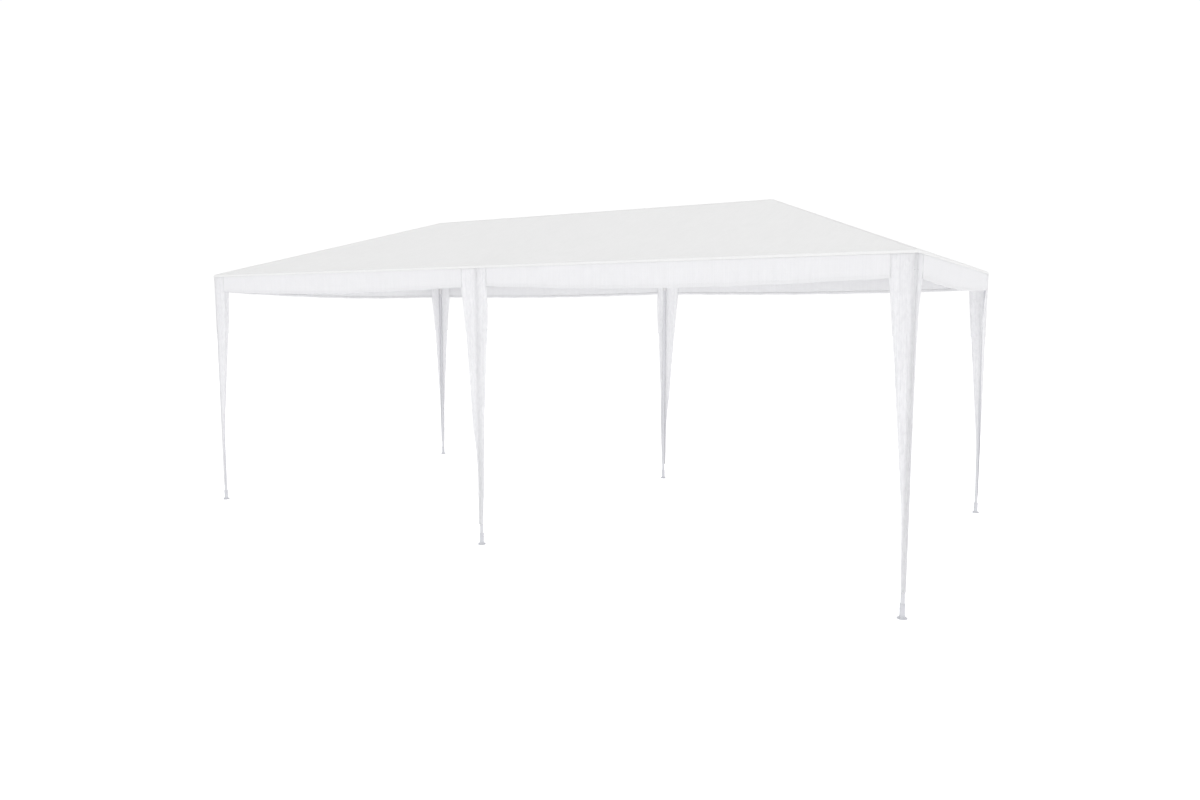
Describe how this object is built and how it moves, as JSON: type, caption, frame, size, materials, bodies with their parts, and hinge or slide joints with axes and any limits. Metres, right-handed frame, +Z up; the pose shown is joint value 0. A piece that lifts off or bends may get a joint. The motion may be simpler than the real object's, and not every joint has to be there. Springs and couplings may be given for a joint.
{
  "type": "marquee tent",
  "caption": "White party tent with a hipped sheet roof, hanging valance and tapering leg covers on a frame of round steel tubes and moulded connectors.",
  "frame": {"origin": "On the ground under the centre of the roof: the middle of the feet's bottom faces.", "axes": "+X runs along the ridge, the tent's 6 m length, towards the right end. +Y runs across it from the front wall to the back wall. +Z is up."},
  "size_m": [6.0174, 3.0174, 2.55],
  "materials": {
    "roof_sheet": "white woven polyethylene sheet, coated, slightly see-through, matt to satin",
    "valance_sheet": "white woven polyethylene sheet with a welded hem",
    "leg_cover_sheet": "white woven polyethylene sheet, creased up and down",
    "steel_tube": "white powder coat on round steel tube",
    "connector_plastic": "moulded white plastic, satin",
    "foot_plastic": "moulded white plastic, satin, a little scuffed"
  },
  "bodies": {
    "root": {"foot_front_left": "foot_plastic", "leg_front_left": "steel_tube", "leg_cover_front_left": "leg_cover_sheet", "foot_front_mid": "foot_plastic", "leg_front_mid": "steel_tube", "leg_cover_front_mid": "leg_cover_sheet", "foot_front_right": "foot_plastic", "leg_front_right": "steel_tube", "leg_cover_front_right": "leg_cover_sheet", "corner_connector_front_left": "connector_plastic", "eave_tube_front_left": "steel_tube", "hip_rafter_front_left": "steel_tube", "valance_front_left": "valance_sheet", "corner_connector_front_right": "connector_plastic", "eave_tube_front_right": "steel_tube", "hip_rafter_front_right": "steel_tube", "valance_front_right": "valance_sheet", "mid_connector_front": "connector_plastic", "mid_rafter_front": "steel_tube", "roof_panel_front": "roof_sheet", "foot_back_left": "foot_plastic", "leg_back_left": "steel_tube", "leg_cover_back_left": "leg_cover_sheet", "foot_back_mid": "foot_plastic", "leg_back_mid": "steel_tube", "leg_cover_back_mid": "leg_cover_sheet", "foot_back_right": "foot_plastic", "leg_back_right": "steel_tube", "leg_cover_back_right": "leg_cover_sheet", "corner_connector_back_left": "connector_plastic", "eave_tube_back_left": "steel_tube", "hip_rafter_back_left": "steel_tube", "valance_back_left": "valance_sheet", "corner_connector_back_right": "connector_plastic", "eave_tube_back_right": "steel_tube", "hip_rafter_back_right": "steel_tube", "valance_back_right": "valance_sheet", "mid_connector_back": "connector_plastic", "mid_rafter_back": "steel_tube", "roof_panel_back": "roof_sheet", "eave_tube_left": "steel_tube", "ridge_tube_left": "steel_tube", "ridge_end_connector_left": "connector_plastic", "roof_panel_left": "roof_sheet", "valance_left": "valance_sheet", "eave_tube_right": "steel_tube", "ridge_tube_right": "steel_tube", "ridge_end_connector_right": "connector_plastic", "roof_panel_right": "roof_sheet", "valance_right": "valance_sheet", "ridge_mid_connector": "connector_plastic"}
  },
  "joints": []
}
